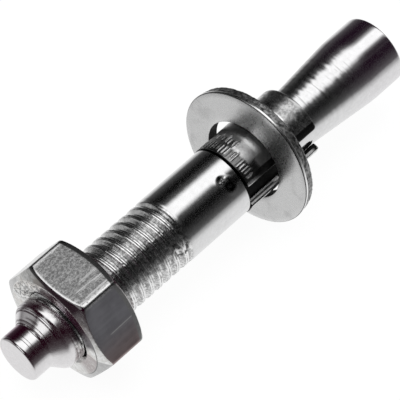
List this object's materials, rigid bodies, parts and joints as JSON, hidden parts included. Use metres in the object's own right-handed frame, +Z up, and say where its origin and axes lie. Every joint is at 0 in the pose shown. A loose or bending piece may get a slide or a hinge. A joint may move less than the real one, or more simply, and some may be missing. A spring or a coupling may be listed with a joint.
{
  "type": "wedge anchor",
  "caption": "Steel wedge anchor: a threaded stud with a flared cone end, a split expansion clip round its neck, a hexagon nut and a loose flat washer.",
  "frame": {"origin": "centre of the struck end face, on the stud's axis", "axes": "+X along the stud from the struck end towards the cone, +Z up through one flat of the nut"},
  "size_m": [0.0531, 0.0161, 0.016],
  "materials": {
    "plated_stud": "bright zinc plating on a turned and rolled blank",
    "clip_strip": "darker rolled strip with worn bright edges",
    "plated_nut": "zinc plating over forged flats",
    "plated_washer": "matt zinc plating with a sheared rim"
  },
  "bodies": {
    "stud": {"stud": "plated_stud"},
    "nut": {"hex_nut": "plated_nut"},
    "washer": {"washer": "plated_washer"},
    "clip": {"expansion_clip": "clip_strip"}
  },
  "joints": [
    {"name": "nut_turn", "type": "hinge", "parent": "stud", "child": "nut", "pos_m": [0.00813, 0, 0], "axis": [1, 0, 0], "continuous": true},
    {"name": "washer_slide", "type": "slide", "parent": "stud", "child": "washer", "axis": [1, 0, 0], "range_m": [-0.0208, 0.0174]},
    {"name": "clip_turn", "type": "hinge", "parent": "stud", "child": "clip", "pos_m": [0.03486, 0, 0], "axis": [1, 0, 0], "continuous": true}
  ]
}
